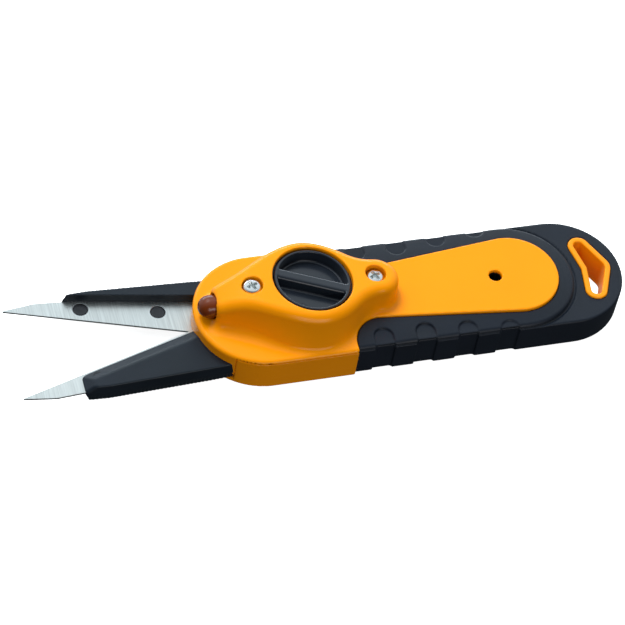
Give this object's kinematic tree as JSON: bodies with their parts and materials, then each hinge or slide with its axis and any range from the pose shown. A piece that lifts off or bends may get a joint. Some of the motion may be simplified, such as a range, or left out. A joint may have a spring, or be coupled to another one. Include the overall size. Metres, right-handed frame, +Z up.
{
  "type": "twin-blade snip",
  "caption": "Handheld snip with two mirrored scissor blades, a nose lamp, a twist-off battery cap and a rubber handle with a lanyard eye.",
  "frame": {"origin": "on the flat underside, straight below the centre of the battery cap", "axes": "+X runs back along the handle to the tail, the blades point along -X, +Z is up through the battery cap, y = 0 is the middle plane"},
  "size_m": [0.1985, 0.043, 0.025],
  "materials": {
    "yellow_plastic": "glossy",
    "black_rubber": "satin",
    "arm_plastic": "satin",
    "pin_plastic": "satin",
    "blade_steel": "brushed",
    "bare_steel": "satin",
    "nylon": "matte",
    "cap_plastic": "glossy",
    "seal_rubber": "matte",
    "contact_brass": "satin",
    "amber_lens": "glossy",
    "led_epoxy": "glossy",
    "board": "satin",
    "red_insulation": "satin",
    "black_insulation": "satin",
    "screw_steel": "bright"
  },
  "bodies": {
    "housing": {"top_shell": "yellow_plastic", "bottom_shell": "yellow_plastic", "lanyard_eye": "yellow_plastic", "upper_grip": "black_rubber", "lower_grip": "black_rubber", "pivot_sleeve": "bare_steel", "pivot_washers": "nylon", "right_spring": "bare_steel", "left_spring": "bare_steel", "battery_cup": "cap_plastic", "coin_cell": "bare_steel", "lower_contact": "contact_brass", "side_contact": "contact_brass", "lamp_lens": "amber_lens", "lamp_led": "led_epoxy", "lamp_board": "board", "lamp_resistor": "cap_plastic", "red_wire": "red_insulation", "black_wire": "black_insulation", "front_screw": "screw_steel", "rear_screw": "screw_steel", "tail_screw": "screw_steel"},
    "right_arm": {"right_arm": "arm_plastic", "right_blade": "blade_steel", "right_pins": "pin_plastic"},
    "left_arm": {"left_arm": "arm_plastic", "left_blade": "blade_steel", "left_pins": "pin_plastic"},
    "cap": {"battery_cap": "cap_plastic", "cap_seal": "seal_rubber"}
  },
  "joints": [
    {"name": "right_arm_pivot", "type": "hinge", "parent": "housing", "child": "right_arm", "pos_m": [-0.0195, 0, 0.005], "axis": [0, 0, 1], "range_deg": [0, 12.5], "stiffness_Nm_per_rad": 0.12, "springref_deg": -6.88, "deforming": ["right_spring"]},
    {"name": "left_arm_pivot", "type": "hinge", "parent": "housing", "child": "left_arm", "pos_m": [-0.0195, 0, 0.005], "axis": [0, 0, -1], "range_deg": [0, 12.5], "stiffness_Nm_per_rad": 0.12, "springref_deg": -6.88, "deforming": ["left_spring"]},
    {"name": "battery_cap_turn", "type": "hinge", "parent": "housing", "child": "cap", "pos_m": [0, 0, 0.0241], "axis": [0.0706, 0, 0.9975], "range_deg": [0, 45]}
  ]
}
